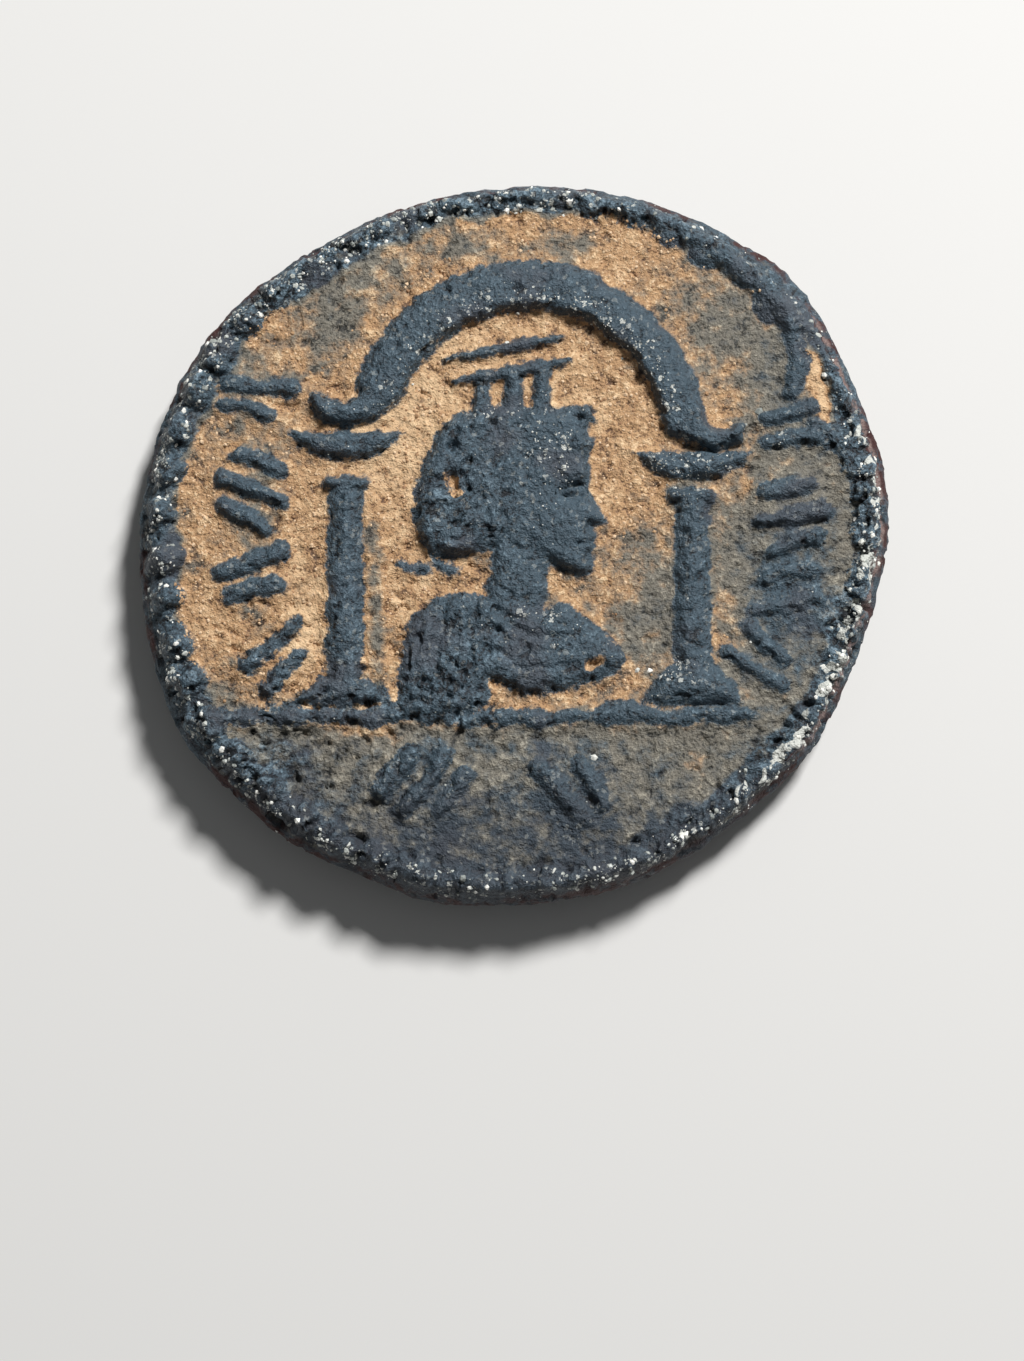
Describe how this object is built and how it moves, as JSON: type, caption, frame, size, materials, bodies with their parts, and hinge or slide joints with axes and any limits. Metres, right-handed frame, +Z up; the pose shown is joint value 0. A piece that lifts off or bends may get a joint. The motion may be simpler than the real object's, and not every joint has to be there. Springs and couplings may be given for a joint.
{
  "type": "roman bronze coin",
  "caption": "Uneven round struck bronze coin, worn and patinated: a draped, turreted bust under an arched shrine on one face, a worn wreathed head on the other.",
  "frame": {"origin": "on the surface that the coin lies on, under the middle of its bounding box", "axes": "+Z up through the shrine face, +Y towards the top of the shrine, +X towards the side that the bust faces"},
  "size_m": [0.0228, 0.022, 0.0029],
  "materials": {
    "patinated_bronze": "dull, grainy slate-blue patina on the raised forms, sandy tan deposit on the field, dark red and brown edge"
  },
  "bodies": {
    "root": {"coin": "patinated_bronze"}
  },
  "joints": []
}
